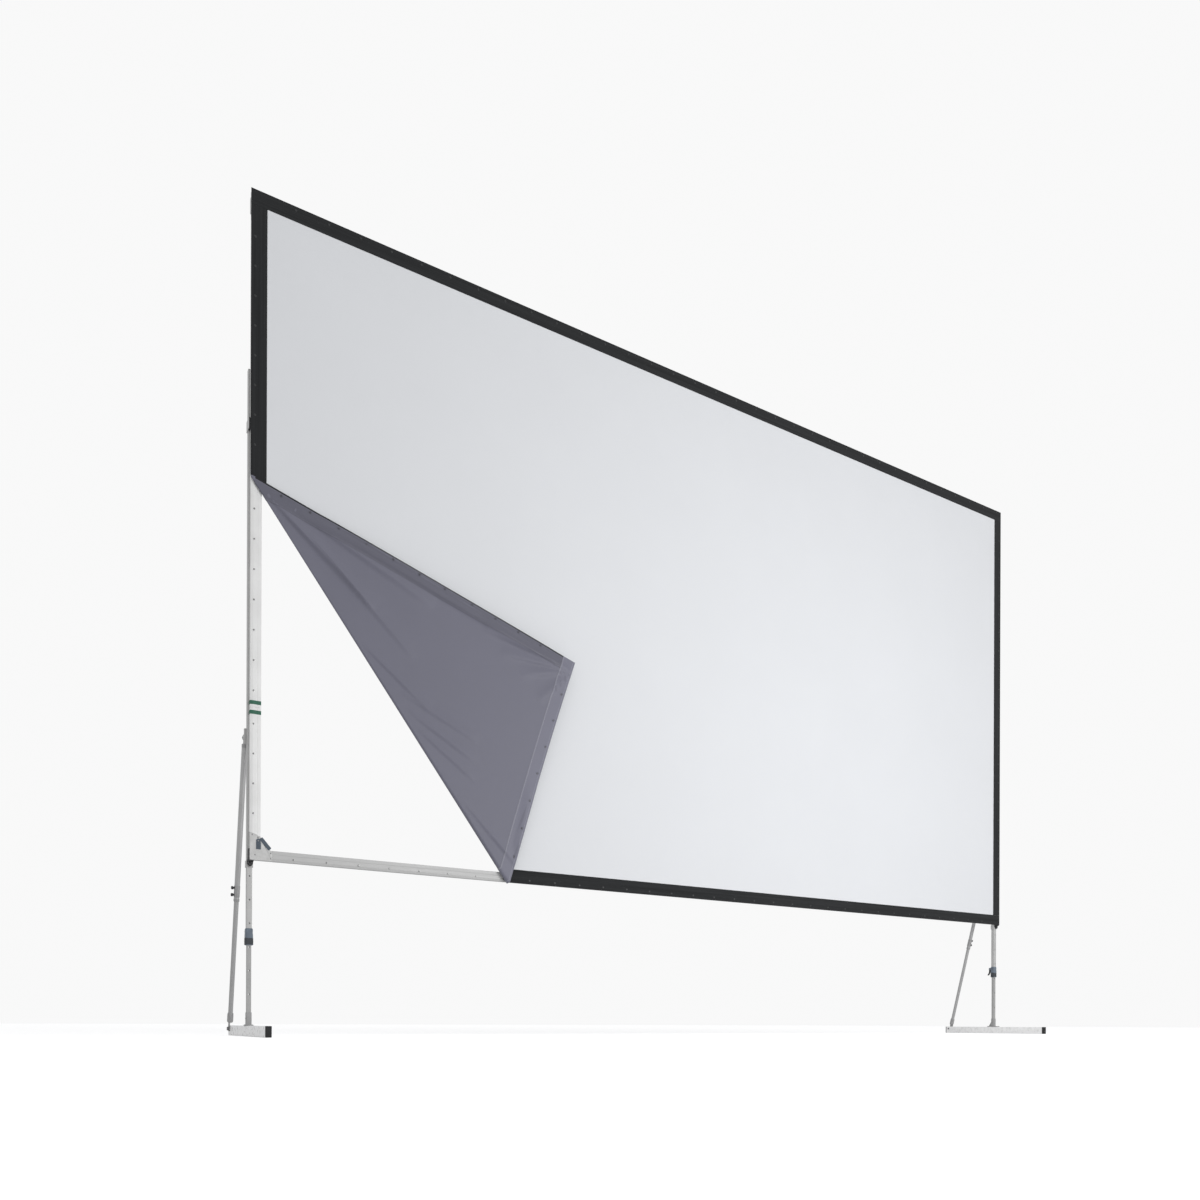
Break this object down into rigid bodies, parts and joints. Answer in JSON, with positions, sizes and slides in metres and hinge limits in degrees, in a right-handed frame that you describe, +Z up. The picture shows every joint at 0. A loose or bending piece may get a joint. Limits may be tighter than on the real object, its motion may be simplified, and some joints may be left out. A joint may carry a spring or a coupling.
{
  "type": "rear projection screen",
  "caption": "Free-standing rear projection screen: folding aluminium frame with a grey cloth on press studs, telescopic legs, long foot bars and back braces.",
  "frame": {"origin": "on the floor, in the middle of the rectangle that the whole screen stands in", "axes": "+X along the screen's width, to the audience's right; +Y to the rear, away from the audience; +Z up"},
  "size_m": [6.651, 1.04, 4.766],
  "materials": {
    "satin_aluminium": "satin",
    "leg_aluminium": "satin",
    "pale_foot_bar": "satin",
    "blue_grey_casting": "satin",
    "latch_nylon": "satin",
    "black_plastic": "matte",
    "grey_cloth": "matte",
    "black_border": "matte"
  },
  "bodies": {
    "frame": {"border_bottom": "black_border", "border_left": "black_border", "border_right": "black_border", "border_top": "black_border", "bottom_rail_centre": "satin_aluminium", "bottom_rail_left": "satin_aluminium", "bottom_rail_right": "satin_aluminium", "corner_bottom_left": "satin_aluminium", "corner_bottom_right": "satin_aluminium", "corner_top_left": "satin_aluminium", "corner_top_right": "satin_aluminium", "left_brace_bracket": "leg_aluminium", "left_height_collar": "blue_grey_casting", "left_hook_clamp": "leg_aluminium", "left_shelf_clamp": "black_plastic", "left_side_lower": "satin_aluminium", "left_side_middle": "satin_aluminium", "left_side_upper": "satin_aluminium", "left_upright": "leg_aluminium", "right_brace_bracket": "leg_aluminium", "right_height_collar": "blue_grey_casting", "right_hook_clamp": "leg_aluminium", "right_shelf_clamp": "black_plastic", "right_side_lower": "satin_aluminium", "right_side_middle": "satin_aluminium", "right_side_upper": "satin_aluminium", "right_upright": "leg_aluminium", "screen_cloth": "grey_cloth", "top_rail_centre": "satin_aluminium", "top_rail_left": "satin_aluminium", "top_rail_right": "satin_aluminium"},
    "latch_bottom_left": {"latch_bottom_left": "latch_nylon"},
    "latch_bottom_right": {"latch_bottom_right": "latch_nylon"},
    "latch_top_left": {"latch_top_left": "latch_nylon"},
    "latch_top_right": {"latch_top_right": "latch_nylon"},
    "left_brace_knob_lower": {"left_brace_knob_lower": "black_plastic"},
    "left_brace_knob_upper": {"left_brace_knob_upper": "black_plastic"},
    "left_brace_lower": {"left_brace_lower": "leg_aluminium"},
    "left_brace_upper": {"left_brace_upper": "leg_aluminium"},
    "left_leg": {"left_foot_bar": "pale_foot_bar", "left_foot_bracket": "leg_aluminium", "left_foot_cap": "black_plastic", "left_foot_end": "leg_aluminium", "left_foot_pin": "leg_aluminium", "left_inner_tube": "leg_aluminium"},
    "left_height_lever": {"left_height_lever": "black_plastic"},
    "left_shelf_knob": {"left_shelf_knob": "black_plastic"},
    "right_brace_knob_lower": {"right_brace_knob_lower": "black_plastic"},
    "right_brace_knob_upper": {"right_brace_knob_upper": "black_plastic"},
    "right_brace_lower": {"right_brace_lower": "leg_aluminium"},
    "right_brace_upper": {"right_brace_upper": "leg_aluminium"},
    "right_leg": {"right_foot_bar": "pale_foot_bar", "right_foot_bracket": "leg_aluminium", "right_foot_cap": "black_plastic", "right_foot_end": "leg_aluminium", "right_foot_pin": "leg_aluminium", "right_inner_tube": "leg_aluminium"},
    "right_height_lever": {"right_height_lever": "black_plastic"},
    "right_shelf_knob": {"right_shelf_knob": "black_plastic"}
  },
  "joints": [
    {"name": "left_height", "type": "slide", "parent": "frame", "child": "left_leg", "axis": [0, 0, -1], "range_m": [-0.1335, 0.267]},
    {"name": "left_brace_swing", "type": "hinge", "parent": "frame", "child": "left_brace_upper", "pos_m": [-3.292, 0.05, 1.7], "axis": [1, 0, 0], "range_deg": [-2.2, 1.2]},
    {"name": "left_brace_slide", "type": "slide", "parent": "left_brace_upper", "child": "left_brace_lower", "axis": [0, 0.2535, -0.9673], "range_m": [-0.13, 0.26]},
    {"name": "left_height_lever_open", "type": "hinge", "parent": "frame", "child": "left_height_lever", "pos_m": [-3.278, 0.0335, 0.592], "axis": [1, 0, 0], "range_deg": [0, 95]},
    {"name": "left_shelf_knob_turn", "type": "hinge", "parent": "frame", "child": "left_shelf_knob", "pos_m": [-3.278, -0.03, 0.9707], "axis": [0, -1, 0], "continuous": true},
    {"name": "left_brace_knob_upper_turn", "type": "hinge", "parent": "left_brace_upper", "child": "left_brace_knob_upper", "pos_m": [-3.3135, 0.26749, 0.87002], "axis": [-1, 0, 0], "continuous": true},
    {"name": "left_brace_knob_lower_turn", "type": "hinge", "parent": "left_brace_upper", "child": "left_brace_knob_lower", "pos_m": [-3.3135, 0.27789, 0.83036], "axis": [-1, 0, 0], "continuous": true},
    {"name": "right_height", "type": "slide", "parent": "frame", "child": "right_leg", "axis": [0, 0, -1], "range_m": [-0.1335, 0.267]},
    {"name": "right_brace_swing", "type": "hinge", "parent": "frame", "child": "right_brace_upper", "pos_m": [3.292, 0.05, 1.7], "axis": [1, 0, 0], "range_deg": [-2.2, 1.2]},
    {"name": "right_brace_slide", "type": "slide", "parent": "right_brace_upper", "child": "right_brace_lower", "axis": [0, 0.2535, -0.9673], "range_m": [-0.13, 0.26]},
    {"name": "right_height_lever_open", "type": "hinge", "parent": "frame", "child": "right_height_lever", "pos_m": [3.278, 0.0335, 0.592], "axis": [1, 0, 0], "range_deg": [0, 95]},
    {"name": "right_shelf_knob_turn", "type": "hinge", "parent": "frame", "child": "right_shelf_knob", "pos_m": [3.278, -0.03, 0.9707], "axis": [0, -1, 0], "continuous": true},
    {"name": "right_brace_knob_upper_turn", "type": "hinge", "parent": "right_brace_upper", "child": "right_brace_knob_upper", "pos_m": [3.3135, 0.26749, 0.87002], "axis": [1, 0, 0], "continuous": true},
    {"name": "right_brace_knob_lower_turn", "type": "hinge", "parent": "right_brace_upper", "child": "right_brace_knob_lower", "pos_m": [3.3135, 0.27789, 0.83036], "axis": [1, 0, 0], "continuous": true},
    {"name": "latch_bottom_left_open", "type": "hinge", "parent": "frame", "child": "latch_bottom_left", "pos_m": [-3.237, -0.0453, 1.104], "axis": [0, -1, 0], "range_deg": [0, 30]},
    {"name": "latch_bottom_right_open", "type": "hinge", "parent": "frame", "child": "latch_bottom_right", "pos_m": [3.237, -0.0453, 1.104], "axis": [0, 1, 0], "range_deg": [0, 30]},
    {"name": "latch_top_left_open", "type": "hinge", "parent": "frame", "child": "latch_top_left", "pos_m": [-3.237, -0.0453, 4.652], "axis": [0, 1, 0], "range_deg": [0, 30]},
    {"name": "latch_top_right_open", "type": "hinge", "parent": "frame", "child": "latch_top_right", "pos_m": [3.237, -0.0453, 4.652], "axis": [0, -1, 0], "range_deg": [0, 30]}
  ],
  "couplings": [
    {"joint": "left_brace_swing", "follows": "left_height", "rad_per_m": -0.1373},
    {"joint": "left_brace_slide", "follows": "left_height", "ratio": 0.969},
    {"joint": "right_brace_swing", "follows": "right_height", "rad_per_m": -0.1373},
    {"joint": "right_brace_slide", "follows": "right_height", "ratio": 0.969}
  ]
}
